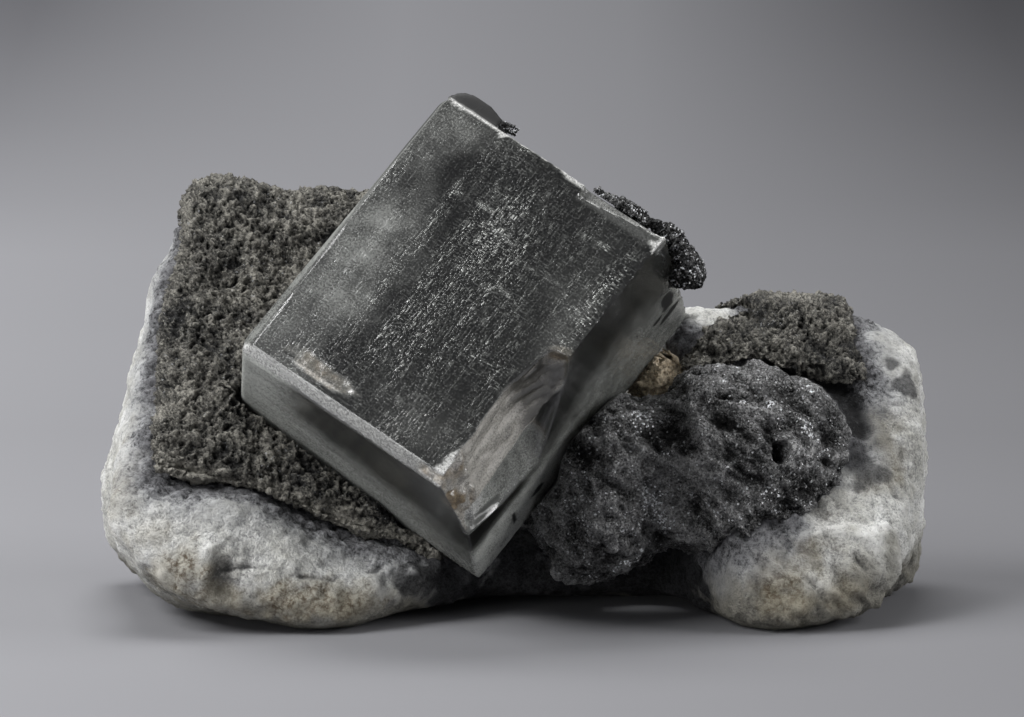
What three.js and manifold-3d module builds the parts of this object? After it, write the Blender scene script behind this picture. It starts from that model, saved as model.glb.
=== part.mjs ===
// A phosgenite specimen: one block-shaped crystal seated on a lump of white baryte whose upper
// slopes are crusted with granular galena. Millimetres, +Z up, standing on z = 0, front towards -Y.
import * as THREE from 'three';
import { mergeVertices } from 'three/addons/utils/BufferGeometryUtils.js';
import { ConvexGeometry } from 'three/addons/geometries/ConvexGeometry.js';
import { ImprovedNoise } from 'three/addons/math/ImprovedNoise.js';
import Module from 'manifold-3d';

const wasm = await Module();
wasm.setup();

// ---- driving dimensions ----
const GAP = 0.3;                 // clearance between neighbouring pieces
const CRUST_THICKNESS = 2.2;     // galena crust on the baryte's front slope
const FACE_WIDTH = 20.8;         // crystal's main face, short way
const FACE_LENGTH = 25.7;        // and long way
const CRYSTAL_DEPTH = 17.4;      // main face to the seat in the matrix
const BEVEL = 0.75;              // the frosted edge between main face and lower left side
const LEFT_LEAN = 11;            // degrees that the crystal's left and upper sides spread
const UPPER_LEAN = 5;            //   towards the seat
const FACE_CENTRE = new THREE.Vector3(-4.7, -10.0, 26.4);
const HEADING = -5.5;            // degrees: the crystal's turn about Z, its tilt, and its turn
const TILT = 59.7;               //   about its own main face
const SPIN = -34.4;

const rad = THREE.MathUtils.degToRad;
const vec = (x, y, z) => new THREE.Vector3(x, y, z);

// ---- fields: negative inside, in millimetres from the surface ----
const softMax = (values, radius) => {
  const top = Math.max(...values);
  const sum = values.reduce((s, v) => s + Math.exp((v - top) / radius), 0);
  return top + radius * Math.log(sum);
};
const join = (radius, ...fields) => (p) => -softMax(fields.map((field) => -field(p)), radius);

// A stone bounded by broken faces, each given as [a point on it, its outward direction].
const boulder = (radius, faces) => {
  const planes = faces.map(([at, out]) => [vec(...at), vec(...out).normalize()]);
  return (p) => softMax(planes.map(([at, out]) => p.clone().sub(at).dot(out)), radius);
};
const blob = (centre, radii) => {
  const middle = vec(...centre);
  const stretch = vec(...radii);
  return (p) => (p.clone().sub(middle).divide(stretch).length() - 1) * Math.min(...radii);
};
const noise = new ImprovedNoise();
const lumpy = (height, size, field) => (p) =>
  field(p) - height * noise.noise(p.x / size + 31.7, p.y / size + 8.3, p.z / size + 17.1);
const grown = (field, by) => (p) => field(p) - by;

// A grid square whose corners are in and out by turns would pinch the mesh to a single edge, so
// the shallower of its outside corners is taken inside, until no such square is left.
function openPinches(value, [nx, ny, nz]) {
  const strides = [1, nx, nx * ny];
  const limits = [nx, ny, nz];
  let changed = true;
  while (changed) {
    changed = false;
    for (const [u, w] of [[0, 1], [1, 2], [2, 0]]) {
      for (let n = 0; n < value.length; n++) {
        const at = [n % nx, Math.floor(n / nx) % ny, Math.floor(n / (nx * ny))];
        if (at[u] === limits[u] - 1 || at[w] === limits[w] - 1) continue;
        const ring = [n, n + strides[u], n + strides[u] + strides[w], n + strides[w]];
        const inside = ring.map((m) => value[m] < 0);
        if (inside[0] !== inside[2] || inside[1] !== inside[3] || inside[0] === inside[1]) continue;
        const outside = ring.filter((m) => value[m] >= 0);
        outside.sort((a, b) => value[a] - value[b]);
        value[outside[0]] = -1e-3;
        changed = true;
      }
    }
  }
}

// A closed mesh of a field's surface: a vertex in every grid cell that the surface crosses,
// and two triangles round every grid edge that it crosses.
function skin(field, low, high, cell) {
  const count = low.map((v, i) => Math.ceil((high[i] - v) / cell) + 1);
  const [nx, ny, nz] = count;
  const index = (i, j, k) => i + nx * (j + ny * k);
  const place = (i, j, k) => vec(low[0] + i * cell, low[1] + j * cell, low[2] + k * cell);
  const value = new Float64Array(nx * ny * nz);
  for (let k = 0; k < nz; k++) {
    for (let j = 0; j < ny; j++) {
      for (let i = 0; i < nx; i++) value[index(i, j, k)] = field(place(i, j, k));
    }
  }
  openPinches(value, count);
  const corners = [0, 1, 2, 3, 4, 5, 6, 7].map((n) => [n & 1, (n >> 1) & 1, n >> 2]);
  const edges = [[0, 1], [2, 3], [4, 5], [6, 7], [0, 2], [1, 3], [4, 6], [5, 7], [0, 4], [1, 5],
    [2, 6], [3, 7]];
  const points = [];
  const vertexOf = new Map();
  for (let k = 0; k < nz - 1; k++) {
    for (let j = 0; j < ny - 1; j++) {
      for (let i = 0; i < nx - 1; i++) {
        const v = corners.map(([a, b, c]) => value[index(i + a, j + b, k + c)]);
        const crossed = edges.filter(([a, b]) => (v[a] < 0) !== (v[b] < 0));
        if (crossed.length === 0) continue;
        const middle = vec(0, 0, 0);
        for (const [a, b] of crossed) {
          const from = vec(...corners[a]);
          middle.add(from.lerp(vec(...corners[b]), v[a] / (v[a] - v[b])));
        }
        middle.divideScalar(crossed.length).multiplyScalar(cell).add(place(i, j, k));
        vertexOf.set(index(i, j, k), points.length / 3);
        points.push(middle.x, middle.y, middle.z);
      }
    }
  }
  const steps = [[1, 0, 0], [0, 1, 0], [0, 0, 1]];
  const faces = [];
  for (let k = 1; k < nz - 1; k++) {
    for (let j = 1; j < ny - 1; j++) {
      for (let i = 1; i < nx - 1; i++) {
        steps.forEach((step, axis) => {
          const here = value[index(i, j, k)];
          const next = value[index(i + step[0], j + step[1], k + step[2])];
          if ((here < 0) === (next < 0)) return;
          const [u, w] = [steps[(axis + 1) % 3], steps[(axis + 2) % 3]];
          const ring = [[0, 0], [1, 0], [1, 1], [0, 1]].map(([a, b]) => vertexOf.get(
            index(i - a * u[0] - b * w[0], j - a * u[1] - b * w[1], k - a * u[2] - b * w[2])));
          if (here >= 0) ring.reverse();
          faces.push(ring[0], ring[1], ring[2], ring[0], ring[2], ring[3]);
        });
      }
    }
  }
  return new THREE.BufferGeometry()
    .setAttribute('position', new THREE.Float32BufferAttribute(points, 3))
    .setIndex(faces);
}

// ---- solids, for joining and cutting ----
const toSolid = (geometry) => new wasm.Manifold(new wasm.Mesh({
  numProp: 3,
  vertProperties: new Float32Array(geometry.getAttribute('position').array),
  triVerts: new Uint32Array(geometry.index.array),
}));
const toGeometry = (solid) => {
  const mesh = solid.getMesh();
  return new THREE.BufferGeometry()
    .setAttribute('position', new THREE.BufferAttribute(mesh.vertProperties, 3))
    .setIndex(new THREE.BufferAttribute(mesh.triVerts, 1));
};
const largest = (solid) => solid.decompose().sort((a, b) => b.volume() - a.volume())[0];

// ---- the baryte: two boulders, the foot in front of the left one, and the bridge between ----
const SLOPE = vec(0.30, -0.716, 0.63).normalize();     // the way the crusted front slope faces
const ON_CRUST = vec(-21, 0.4, 16.4);                  // a point on the crust, by the crystal
const slopeAt = (depth) => [ON_CRUST.clone().addScaledVector(SLOPE, -depth).toArray(), SLOPE.toArray()];
const LEFT_SIDE = [[-30.4, 2, 15.8], [-0.95, -0.05, 0.22]];
const RIDGE = [[-8, 10, 32.6], [0.36, 0.1, 0.93]];
const BED = [[0, 0, -0.25], [0, 0, -1]];
const UNDERSIDE = [
  [[-29.6, -4, 5.4], [-0.8, -0.25, -0.36]],
  [[-27.0, -5.5, 2.4], [-0.45, -0.2, -0.64]],
  [[-21, -8.5, 0.8], [-0.3, -0.2, -0.93]],
  BED,
];
const leftBoulder = boulder(0.7, [
  slopeAt(CRUST_THICKNESS),
  LEFT_SIDE,
  ...UNDERSIDE,
  [[-6.5, -5, 2.3], [0.1, -0.2, -0.97]],
  [[-20, 14, 33.0], [0.03, 0.35, 0.93]],
  [[-18, 18.6, 18], [-0.15, 0.97, 0.16]],
  [[-18, 15, 2], [-0.1, 0.82, -0.56]],
  RIDGE,
  [[2, 8, 10], [0.82, 0.5, 0.28]],
]);
const leftFoot = boulder(0.9, [
  slopeAt(-0.5),
  [[-16.2, -4.4, 9.0], [0.12, 0.68, 0.72]],
  [[-18, -10.6, 4.0], [-0.08, -0.94, 0.28]],
  LEFT_SIDE,
  ...UNDERSIDE,
  [[-12.5, -8.8, 0.8], [0.42, -0.3, -0.85]],
  [[-6, -5, 3], [0.8, -0.45, -0.3]],
]);
const rightBoulder = boulder(1.0, [
  [[24, -11.9, 3.0], [0.08, -0.94, 0.3]],
  [[25, -2.0, 11], [0.12, -0.75, 0.65]],
  [[32.4, 5, 14], [0.99, -0.1, 0.06]],
  [[31.4, 8, 1.7], [0.91, -0.25, -0.34]],
  [[28.2, -7, 0.6], [0.6, -0.4, -0.7]],
  [[29.7, 8.5, 21.9], [0.55, 0.1, 0.83]],
  [[20, 10, 23.0], [0.02, 0.12, 0.99]],
  [[20, 16.5, 12], [0.1, 0.97, 0.2]],
  [[20, 14, 2], [0.1, 0.82, -0.56]],
  [[16.4, -6, 3], [-0.9, -0.4, 0.1]],
  BED,
]);
const bridge = boulder(1.0, [
  [[5, 1.5, 5], [0, -0.96, -0.26]],
  [[5, 2, 0.5], [0, -0.25, -0.97]],
  slopeAt(CRUST_THICKNESS),
  RIDGE,
  [[0, 18, 12], [0.02, 0.98, 0.2]],
  [[0, 14, 2], [0, 0.82, -0.56]],
  [[-12, 5, 5], [-1, 0, 0]],
  [[22, 5, 5], [1, 0, 0]],
  [[14, 12, 24.8], [0.1, 0.2, 0.97]],
  BED,
]);
const stoneField = lumpy(1.1, 6, join(0.5, leftBoulder, leftFoot, rightBoulder, bridge));

// ---- the crystal, in its own frame: main face in the plane z = 0, seat below it ----
const crystalFrame = new THREE.Matrix4().makeTranslation(FACE_CENTRE)
  .multiply(new THREE.Matrix4().makeRotationZ(rad(HEADING)))
  .multiply(new THREE.Matrix4().makeRotationX(rad(TILT)))
  .multiply(new THREE.Matrix4().makeRotationZ(rad(SPIN)));
const inCrystal = (x, y, z) => vec(x, y, z).applyMatrix4(crystalFrame).toArray();

function hull(points) {
  const made = new ConvexGeometry(points.map((p) => vec(...p)));
  made.deleteAttribute('normal');
  return toSolid(mergeVertices(made, 1e-4).applyMatrix4(crystalFrame));
}
function block(margin) {
  const [x, y] = [FACE_WIDTH / 2 + margin, FACE_LENGTH / 2 + margin];
  const deep = CRYSTAL_DEPTH + margin;
  const left = -x - deep * Math.tan(rad(LEFT_LEAN));
  const upper = y + deep * Math.tan(rad(UPPER_LEAN));
  return hull([
    [-x + BEVEL, BEVEL - y, margin], [x, BEVEL - y, margin], [x, y, margin], [-x, y, margin],
    [-x - 0.3, 2 * BEVEL - y, margin - BEVEL], [-x - 0.5, -y, margin - 2 * BEVEL],
    [x, -y, margin - BEVEL],
    [left, -y, -deep], [x, -y, -deep], [x, upper, -deep], [left, upper, -deep],
  ]);
}
const [halfX, halfY] = [FACE_WIDTH / 2, FACE_LENGTH / 2];
// The step of a second growth layer that stands out behind the top corner.
const topLayer = (margin) => {
  const [left, right] = [-halfX + 0.1 - margin, -5.7 + margin];
  const [low, high] = [halfY - 2, halfY + 1.42 + margin];
  const outline = [
    [left, low], [left, halfY + 0.2], [left + 0.25, high - 0.57], [left + 0.9, high - 0.12],
    [left + 1.7, high], [right - 1.4, high - 0.05], [right, high - 0.5], [right, low],
  ];
  return hull(outline.flatMap(([x, y]) => [
    [x, y, margin - (y > halfY + 0.6 ? 0.55 : 0.3)], [x, y, -9],
  ]));
};
// The shell-shaped chip knocked off the lower right edge, from the near corner upwards.
const chip = hull([
  [8.7, 0.8, 1], [7.7, -3.5, 1], [8.4, -14, 1], [13, 1.5, 1], [13, -14, 1],
  [10.3, 0, -3.2], [10.3, -4.4, -10.6], [10.3, -9, -9.8], [10, -14, -6.4],
  [13, 0, -4], [13, -4.4, -12], [13, -9, -12], [13, -14, -8],
]);
// The shallow step along the upper edge, filled with galena grains.
const edgeStep = hull([
  [2.9, 11.7, 1], [2.7, 14, 1], [10.6, 14, 1], [10.2, 12.7, 1],
  [3, 11.8, -0.8], [2.8, 14, -0.8], [10.6, 14, -0.8], [10.2, 12.7, -0.8],
]);
const crystal = block(0).add(topLayer(0)).subtract(chip).subtract(edgeStep);
const socket = block(GAP).add(topLayer(GAP));

// ---- the galena ----
const crustField = lumpy(0.9, 3.4, boulder(0.6, [
  slopeAt(-0.6),
  [[-28.2, 2, 15.8], [-1, -0.02, 0.09]],
  [[-20, 15, 34.0], [0.03, 0.2, 0.98]],
  [[-20, 17.2, 30], [-0.15, 0.97, 0.1]],
  [[-8, 10, 34.0], [0.36, 0.1, 0.93]],
  slopeAt(8).map((v, i) => (i === 0 ? v : v.map((c) => -c))),
  [[-2.5, 0, 0], [0.9, -0.3, 0]],
  [[-16.2, -4.8, 8.0], [-0.12, -0.68, -0.72]],
]));
const noduleField = lumpy(1.3, 4.2, join(0.5,
  blob([6.4, -0.4, 10.2], [5.8, 6.4, 7.4]),
  blob([17.0, 1.0, 12.2], [9.3, 7.6, 7.4]),
  blob([18.6, -0.2, 8.6], [5.4, 6.4, 5.2]),
));
const rightCrustField = lumpy(0.9, 3.2, boulder(0.6, [
  [[21, 10, 24.2], [0.0, -0.1, 0.99]],
  [[28.2, 8, 20], [0.9, 0.0, 0.42]],
  [[21, 2.9, 19], [0.1, -0.75, 0.65]],
  [[16.0, 10, 22.8], [-0.55, -0.05, 0.83]],
  [[12.0, 6, 18], [-1, 0, 0]],
  [[21, 14, 22], [0, 0.98, 0.2]],
  [[21, 8, 16.5], [0, -0.1, -0.99]],
]));
const ochreField = lumpy(0.7, 2.2, blob([11.6, 5.4, 17.4], [2.7, 3.4, 2.3]));
const cornerField = lumpy(0.9, 1.7, join(0.4,
  blob(inCrystal(10.6, 13.7, -7), [2.0, 2.0, 1.9]),
  blob(inCrystal(9.4, 14.0, -3.8), [1.8, 1.5, 1.4]),
));
const edgeGrains = lumpy(0.6, 1.2, join(0.3,
  blob(inCrystal(3.9, 12.9, -1.4), [1.1, 0.9, 0.9]),
  blob(inCrystal(6.2, 13.1, -1.5), [1.6, 1.0, 1.1]),
  blob(inCrystal(8.2, 13.0, -1.7), [1.3, 0.9, 0.9]),
));
const tipGrains = lumpy(0.3, 0.9, blob(inCrystal(-5.2, 13.35, -0.8), [1.2, 0.85, 0.75]));

// ---- the pieces: each is cut clear of those before it ----
const part = new THREE.Group();
const placed = [];
function add(name, solid, colour, roughness, metalness) {
  const material = new THREE.MeshStandardMaterial({ color: colour, roughness, metalness });
  const mesh = new THREE.Mesh(toGeometry(solid), material);
  mesh.name = name;
  part.add(mesh);
}
function addGrown(name, field, low, high, cell, colour, roughness, metalness) {
  const made = placed.reduce((solid, other) => solid.subtract(other), toSolid(skin(field, low, high, cell)));
  add(name, largest(made.trimByPlane([0, 0, 1], 0)), colour, roughness, metalness);
  placed.push(toSolid(skin(grown(field, GAP), low, high, cell)));
}
add('phosgenite_crystal', crystal, 0x6c6e6c, 0.3, 0);
placed.push(socket);
addGrown('baryte_matrix', stoneField, [-37, -17, -5.1], [38, 26, 38], 2.15, 0xb9b8b2, 0.9, 0);
addGrown('ochre_grains', ochreField, [5, -2, 10], [19, 14, 24], 1.2, 0x7a6248, 0.9, 0);
addGrown('galena_nodule', noduleField, [-4, -12, -2], [30, 14, 25], 1.8, 0x1e1e20, 0.5, 0.5);
addGrown('galena_crust_left', crustField, [-34, -16, -6], [12, 25, 40], 2.1, 0x3c3c3a, 0.6, 0.4);
addGrown('galena_crust_right', rightCrustField, [6, -5, 9], [36, 20, 31], 1.6, 0x3c3c3a, 0.6, 0.4);
addGrown('galena_corner_cluster', cornerField, [5, -14, 20], [20, 6, 38], 0.75, 0x2a2a2b, 0.4, 0.6);
addGrown('galena_edge_grains', edgeGrains, [1, -14, 26], [16, 2, 40], 0.6, 0x2a2a2b, 0.4, 0.6);
addGrown('galena_tip_grains', tipGrains, [-5, -8, 33], [6, 3, 43], 0.45, 0x2a2a2b, 0.4, 0.6);

// The origin is the middle of the outer box, on the surface that the specimen stands on.
const middle = new THREE.Box3().setFromObject(part).getCenter(vec(0, 0, 0));
part.position.set(-middle.x, -middle.y, 0);

export default part;
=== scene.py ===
import math
from itertools import product

import bmesh
import bpy
import numpy as np
from mathutils import Matrix, Vector
from mathutils.bvhtree import BVHTree


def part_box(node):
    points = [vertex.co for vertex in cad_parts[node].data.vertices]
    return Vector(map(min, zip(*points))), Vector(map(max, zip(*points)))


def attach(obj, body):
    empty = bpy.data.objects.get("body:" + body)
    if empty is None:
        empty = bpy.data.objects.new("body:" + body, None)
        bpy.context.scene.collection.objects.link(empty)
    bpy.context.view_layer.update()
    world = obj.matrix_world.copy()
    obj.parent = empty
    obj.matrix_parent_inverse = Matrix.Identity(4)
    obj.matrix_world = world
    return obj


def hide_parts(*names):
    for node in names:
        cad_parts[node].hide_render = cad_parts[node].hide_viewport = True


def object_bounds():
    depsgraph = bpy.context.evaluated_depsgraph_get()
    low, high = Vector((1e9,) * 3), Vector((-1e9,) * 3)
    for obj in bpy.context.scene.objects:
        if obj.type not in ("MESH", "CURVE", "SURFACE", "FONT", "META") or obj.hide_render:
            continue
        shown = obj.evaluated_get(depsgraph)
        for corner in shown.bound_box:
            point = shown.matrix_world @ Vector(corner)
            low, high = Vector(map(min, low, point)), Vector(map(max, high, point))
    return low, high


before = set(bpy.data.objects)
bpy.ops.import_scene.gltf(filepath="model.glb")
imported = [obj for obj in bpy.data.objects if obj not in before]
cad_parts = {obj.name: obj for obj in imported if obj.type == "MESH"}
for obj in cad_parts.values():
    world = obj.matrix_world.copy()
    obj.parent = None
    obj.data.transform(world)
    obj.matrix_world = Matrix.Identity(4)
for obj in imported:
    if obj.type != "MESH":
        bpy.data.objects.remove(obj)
cad_low, cad_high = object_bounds()

# ---- The view ----
# A long lens, a little above the shelf and square to the specimen's front. It aims just below the
# middle of the crystal's main face, so the lump fills four fifths of the width.
MM = 0.001
ELEVATION = math.radians(7)
DISTANCE = 315 * MM
FOCAL_LENGTH = 146.2
FILM_WIDTH = 36
FROM_MIDDLE = Vector((-0.37, -8.96, 0.61)) * MM
aim = (cad_low + cad_high) / 2 + FROM_MIDDLE
back = Vector((0, -math.cos(ELEVATION), math.sin(ELEVATION)))
camera = bpy.data.objects.new("camera", bpy.data.cameras.new("camera"))
camera.data.sensor_width = FILM_WIDTH
camera.data.lens = FOCAL_LENGTH
camera.data.clip_start = 10 * MM
camera.data.clip_end = 5
camera.location = aim + back * DISTANCE
camera.rotation_euler = (-back).to_track_quat("-Z", "Y").to_euler()
bpy.context.collection.objects.link(camera)
bpy.context.scene.camera = camera


# ---- The studio ----
# A sheet of pale matt card, bent up behind the specimen, its colour graded as painted light: painted shade
# towards the right and in the far upper corners, painted light far back.
# A broad soft lamp stands above on the left, and weaker ones fill the right side, the top and the front.
def srgb(code):
    """The linear colour of a hex code such as "#8a7250"."""
    parts = [int(code[i:i + 2], 16) / 255 for i in (1, 3, 5)]
    return tuple(v / 12.92 if v < 0.04045 else ((v + 0.055) / 1.055) ** 2.4 for v in parts) + (1,)


def add(tree, kind, inputs=None, **settings):
    """Adds a node with these settings; an input takes a value, a node's output, or a node's first."""
    made = tree.nodes.new("ShaderNode" + kind)
    for name, value in settings.items():
        setattr(made, name, value)
    for name, value in (inputs or {}).items():
        if isinstance(value, bpy.types.Node):
            value = value.outputs[0]
        if isinstance(value, bpy.types.NodeSocket):
            tree.links.new(value, made.inputs[name])
        else:
            made.inputs[name].default_value = value
    return made


def material(name):
    """A new material with no nodes, and its tree."""
    made = bpy.data.materials.new(name)
    made.use_nodes = True
    made.node_tree.nodes.clear()
    return made, made.node_tree


# Places on the card, in metres: x is the way right and y the way back.
card, tree = material("matt card")
spread = add(tree, "SeparateXYZ", {0: add(tree, "TexCoord").outputs["Object"]})
# Painted shade: the card is painted darker towards the right.
painted_shade_rightward = add(tree, "MapRange", {"Value": spread.outputs["X"], "From Min": -0.12, "From Max": 0.14})
shade = add(tree, "MixRGB", {"Fac": painted_shade_rightward, "Color1": srgb("#9a9a9e"), "Color2": srgb("#525255")})
# Painted shade in the far upper corners of the card.
sideways = add(tree, "Math", {0: spread.outputs["X"]}, operation="ABSOLUTE")
outward = add(tree, "MapRange", {"Value": sideways, "From Min": 0.02, "From Max": 0.085})
backward = add(tree, "MapRange", {"Value": spread.outputs["Y"], "From Min": 0.26, "From Max": 0.44})
painted_corner_shade = add(tree, "Math", {0: outward, 1: backward}, operation="MULTIPLY")
shade = add(tree, "MixRGB", {"Fac": painted_corner_shade, "Color1": shade, "Color2": srgb("#a8a8aa")},
            blend_type="MULTIPLY")
# Painted light: the card is painted paler far back, where less lamp light reaches.
painted_light_far_back = add(tree, "MapRange", {"Value": spread.outputs["Y"], "From Min": 0.1, "From Max": 0.5,
                                 "To Min": 1.0, "To Max": 1.8})
shade = add(tree, "VectorMath", {0: shade, "Scale": painted_light_far_back}, operation="SCALE")
surface = add(tree, "BsdfPrincipled", {"Base Color": shade, "Roughness": 0.9})
add(tree, "OutputMaterial", {"Surface": surface})

CARD_FRONT = -1.6
CARD_BACK = 0.2
BEND_RADIUS = 0.8
BEND_STEPS = 24
CARD_TOP = 1.3
CARD_HALF_WIDTH = 2.0
profile = [(CARD_FRONT, 0.0), (CARD_BACK, 0.0)]
for step in range(1, BEND_STEPS + 1):
    bend = math.radians(90 * step / BEND_STEPS)
    profile.append((CARD_BACK + BEND_RADIUS * math.sin(bend), BEND_RADIUS * (1 - math.cos(bend))))
profile.append((CARD_BACK + BEND_RADIUS, CARD_TOP))
sweep = bmesh.new()
rows = [[sweep.verts.new((x, y, z)) for x in (-CARD_HALF_WIDTH, CARD_HALF_WIDTH)] for y, z in profile]
for (a, b), (c, d) in zip(rows, rows[1:]):
    sweep.faces.new((a, b, d, c)).smooth = True
floor = bpy.data.objects.new("backdrop", bpy.data.meshes.new("backdrop"))
sweep.to_mesh(floor.data)
floor.data.materials.append(card)
bpy.context.collection.objects.link(floor)


def softbox(name, stand, size, watts):
    """A square lamp of that size that faces the specimen from its stand; both are in millimetres."""
    lamp = bpy.data.objects.new(name, bpy.data.lights.new(name, "AREA"))
    lamp.data.shape = "SQUARE"
    lamp.data.size = size * MM
    lamp.data.energy = watts
    lamp.location = Vector(stand) * MM
    lamp.rotation_euler = (aim - lamp.location).to_track_quat("-Z", "Y").to_euler()
    bpy.context.collection.objects.link(lamp)


softbox("key_lamp", (-330, -160, 330), 260, 2.4)
softbox("right_lamp", (380, -60, 190), 220, 1.0)
softbox("top_lamp", (-40, 120, 430), 260, 1.3)
softbox("low_lamp", (-270, -330, 50), 200, 0.35)
world = bpy.data.worlds.new("room")
world.use_nodes = True
world.node_tree.nodes["Background"].inputs["Color"].default_value = srgb("#c4c6ca")
world.node_tree.nodes["Background"].inputs["Strength"].default_value = 0.2
bpy.context.scene.world = world
bpy.context.scene.view_settings.view_transform = "Standard"


# ---- Baryte matrix ----
# The lump of massive white baryte that everything grew on: chalky and fine-grained, broken by hand
# tools, stained by iron at the bottom and grey with galena dust where it meets the ore.
MATRIX_SKIN = 0.285
random = np.random.default_rng(5)
DIRECTIONS = random.normal(size=(4096, 3))
DIRECTIONS /= np.linalg.norm(DIRECTIONS, axis=1)[:, None]
OFFSETS = random.random((4096, 3))


def pick(cells, seed):
    """A number from 0 to 4095 for each whole-numbered cell, with no pattern to it."""
    mixed = (cells * np.array([73856093, 19349663, 83492791])).sum(1) + seed * 7919
    mixed = (mixed ^ (mixed >> 15)) * 2246822519 & 0xFFFFFFFF
    return (mixed ^ (mixed >> 13)) & 4095


def lumps(points, size, seed=0):
    """Smooth noise from about -1 to 1, in lumps of that size in millimetres."""
    spread = points / (size * MM) + seed * 0.37
    cell = np.floor(spread).astype(np.int64)
    inside = spread - cell
    blend = inside * inside * (3 - 2 * inside)
    total = np.zeros(len(points))
    for corner in product((0, 1), repeat=3):
        weight = np.where(np.array(corner) == 1, blend, 1 - blend).prod(1)
        slope = DIRECTIONS[pick(cell + corner, seed)]
        total += weight * ((inside - corner) * slope).sum(1)
    return total * 1.6


def rough(points, size, octaves, seed=0):
    """Lumps on lumps, each octave half the size and half the height of the last."""
    return sum(lumps(points, size / 2 ** n, seed + n) / 2 ** n for n in range(octaves))


def grains(points, size, seed=0):
    """Packed grains of that size in millimetres: the height over each, 0 between grains to 1."""
    spread = points / (size * MM) + seed * 0.71
    cell = np.floor(spread).astype(np.int64)
    nearest = np.full(len(points), 9.0)
    second = np.full(len(points), 9.0)
    tilt = np.zeros(len(points))
    for step in product((-1, 0, 1), repeat=3):
        index = pick(cell + step, seed)
        apart = spread - (cell + step + OFFSETS[index])
        far = np.sqrt((apart ** 2).sum(1))
        lean = (apart * DIRECTIONS[index]).sum(1)
        closer = far < nearest
        second = np.where(closer, nearest, np.minimum(second, far))
        tilt = np.where(closer, lean, tilt)
        nearest = np.where(closer, far, nearest)
    dome = np.clip((second - nearest) * 1.7, 0, 1) ** 0.6
    return np.clip(dome * (0.75 + 0.5 * tilt), 0, 1.3)


def baked(piece):
    """Turns the piece's modifiers into its mesh."""
    evaluated = piece.evaluated_get(bpy.context.evaluated_depsgraph_get())
    made = bpy.data.meshes.new_from_object(evaluated)
    piece.modifiers.clear()
    piece.data = made


def cad_copy(name, node):
    """A new piece with a CAD solid's shape and no material."""
    piece = bpy.data.objects.new(name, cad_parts[node].data.copy())
    piece.data.materials.clear()
    bpy.context.collection.objects.link(piece)
    return piece


def even_squares(piece, size):
    """Remakes a piece's mesh in even squares of that size in mm."""
    remesh = piece.modifiers.new("squares", "REMESH")
    remesh.mode = "VOXEL"
    remesh.voxel_size = size * MM
    baked(piece)


def fine_skin(name, node, size, passes):
    """A piece with a CAD solid's shape in even squares of that size in mm, its facets worn down."""
    piece = cad_copy(name, node)
    even_squares(piece, size)
    wear = piece.modifiers.new("wear", "SMOOTH")
    wear.factor = 0.5
    wear.iterations = passes
    baked(piece)
    piece.data.polygons.foreach_set("use_smooth", [True] * len(piece.data.polygons))
    return piece


def read(piece, what="co"):
    """The places, or with "normal" the outward directions, of a piece's vertices."""
    source = piece.data.vertices if what == "co" else piece.data.vertex_normals
    values = np.empty(len(piece.data.vertices) * 3, np.float32)
    source.foreach_get("co" if what == "co" else "vector", values)
    return values.reshape(-1, 3).astype(float)


def place(piece, points):
    """Moves a piece's vertices to these points."""
    piece.data.vertices.foreach_set("co", points.astype(np.float32).ravel())
    piece.data.update()


def paint(piece, name, values):
    """Keeps a number for each vertex, for the piece's material to read."""
    layer = piece.data.attributes.new(name, "FLOAT", "POINT")
    layer.data.foreach_set("value", values.astype(np.float32))


def surface_tree(node):
    """A CAD node's surface, for measuring distances to it."""
    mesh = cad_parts[node].data
    return BVHTree.FromPolygons([v.co for v in mesh.vertices], [p.vertices for p in mesh.polygons])


def away(points, node, limit=6.0):
    """How far each point is from a CAD node's surface in millimetres, up to that limit."""
    tree = surface_tree(node)
    found = [tree.find_nearest(p, limit * MM)[3] for p in points]
    return np.array([limit if d is None else d / MM for d in found])


def clear_of(points, node, gap):
    """Points that are inside a CAD node, or nearer to it than the gap in mm, moved out."""
    tree = surface_tree(node)
    moved = points.copy()
    for n, p in enumerate(points):
        hit, normal, _, _ = tree.find_nearest(p, 1.5 * MM)
        if hit is not None and (Vector(p) - hit).dot(normal) < gap * MM:
            moved[n] = hit + normal * gap * MM
    return moved


def spot(points, centre, radius, ragged=0.5, seed=0, soft=0.3):
    """1 inside a ragged-edged patch and 0 outside: centre in mm, radius in mm or one for each axis."""
    apart = (points / MM - np.array(centre)) / np.array(radius)
    edge = np.sqrt((apart ** 2).sum(1)) + ragged * rough(points, 1.6, 4, seed)
    return np.clip((1 + soft / 2 - edge) / soft, 0, 1)


def off_path(points, path):
    """How far each point is, in millimetres, from a line through these places."""
    nearest = np.full(len(points), 99.0)
    for start, end in zip(path, path[1:]):
        run = np.subtract(end, start)
        along = np.clip((points / MM - start) @ run / (run @ run), 0, 1)
        apart = points / MM - start - along[:, None] * run
        nearest = np.minimum(nearest, np.sqrt((apart ** 2).sum(1)))
    return nearest


def smooth_step(low, high, values):
    """0 below low and 1 above high, with a smooth way between."""
    share = np.clip((values - low) / (high - low), 0, 1)
    return share * share * (3 - 2 * share)


matrix = fine_skin("baryte", "baryte_matrix", MATRIX_SKIN, 14)
points = read(matrix)
normals = read(matrix, "normal")

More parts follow.
